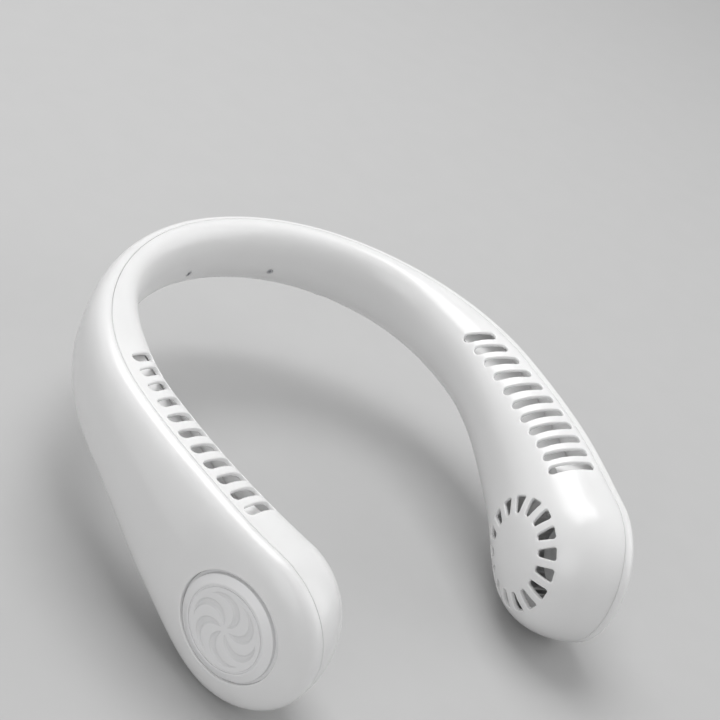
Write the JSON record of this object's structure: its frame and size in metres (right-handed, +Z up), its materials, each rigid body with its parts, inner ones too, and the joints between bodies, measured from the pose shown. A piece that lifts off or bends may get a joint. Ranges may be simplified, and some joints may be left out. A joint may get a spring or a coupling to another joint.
{
  "type": "neck fan",
  "caption": "U-shaped bladeless neck fan with a fan head at each end, slotted arms and a round side disc on each head.",
  "frame": {"origin": "under the middle of the part, at the lowest point of the two heads", "axes": "+Z up as the fan is worn, the two heads point towards -Y, the neck band lies towards +Y, +X is the wearer's right arm of the band as named in the source"},
  "size_m": [0.1974, 0.1986, 0.066],
  "materials": {
    "white_shell": "satin white moulded plastic",
    "white_button": "satin white moulded plastic",
    "fan_plastic": "matt pale grey plastic",
    "duct_plastic": "matt white plastic",
    "motor_plastic": "matt grey plastic",
    "circuit_board": "green lacquered board",
    "chip_plastic": "matt black resin",
    "switch_plastic": "matt dark plastic",
    "led_resin": "pale yellow resin",
    "clear_plastic": "frosted clear plastic",
    "wire_jacket": "soft pale grey insulation",
    "battery_foil": "crimped silver foil",
    "stator_steel": "stacked sheet steel",
    "copper_wire": "enamelled copper wire",
    "bearing_bronze": "sintered bronze",
    "shaft_steel": "ground steel",
    "rotor_steel": "drawn sheet steel",
    "magnet": "dark sintered magnet",
    "screw_steel": "nickel-plated steel",
    "socket_steel": "drawn stainless steel"
  },
  "bodies": {
    "housing": {"outer_shell": "white_shell", "inner_shell": "white_shell", "left_side_disc": "white_shell", "right_side_disc": "white_shell", "left_motor_plate": "motor_plastic", "right_motor_plate": "motor_plastic", "left_motor_board": "circuit_board", "right_motor_board": "circuit_board", "left_stator_core": "stator_steel", "right_stator_core": "stator_steel", "left_stator_windings": "copper_wire", "right_stator_windings": "copper_wire", "left_shaft_bearings": "bearing_bronze", "right_shaft_bearings": "bearing_bronze", "left_fan_housing": "duct_plastic", "right_fan_housing": "duct_plastic", "left_housing_cover": "duct_plastic", "right_housing_cover": "duct_plastic", "left_plate_screws": "screw_steel", "right_plate_screws": "screw_steel", "left_motor_wires": "wire_jacket", "right_motor_wires": "wire_jacket", "left_battery": "battery_foil", "right_battery": "battery_foil", "left_bulkhead": "duct_plastic", "right_bulkhead": "duct_plastic", "left_air_guide": "duct_plastic", "right_air_guide": "duct_plastic", "main_board": "circuit_board", "board_components": "chip_plastic", "usb_c_socket": "socket_steel", "switch_body": "switch_plastic", "light_pipe": "clear_plastic", "indicator_leds": "led_resin", "neck_screws": "screw_steel"},
    "left_rotor": {"left_motor_shaft": "shaft_steel", "left_rotor_cup": "rotor_steel", "left_ring_magnet": "magnet", "left_impeller": "fan_plastic"},
    "right_rotor": {"right_motor_shaft": "shaft_steel", "right_rotor_cup": "rotor_steel", "right_ring_magnet": "magnet", "right_impeller": "fan_plastic"},
    "button": {"power_button": "white_button", "switch_plunger": "switch_plastic"}
  },
  "joints": [
    {"name": "left_fan_spin", "type": "hinge", "parent": "housing", "child": "left_rotor", "pos_m": [-0.07835, -0.06953, 0.031], "axis": [-0.9545, -0.2981, 0], "continuous": true},
    {"name": "right_fan_spin", "type": "hinge", "parent": "housing", "child": "right_rotor", "pos_m": [0.07835, -0.06953, 0.031], "axis": [0.9545, -0.2981, 0], "continuous": true},
    {"name": "power_button_press", "type": "slide", "parent": "housing", "child": "button", "axis": [-0.4794, -0.8776, 0], "range_m": [0, 0.0004], "stiffness_N_per_m": 800, "springref_m": -0.0004}
  ]
}
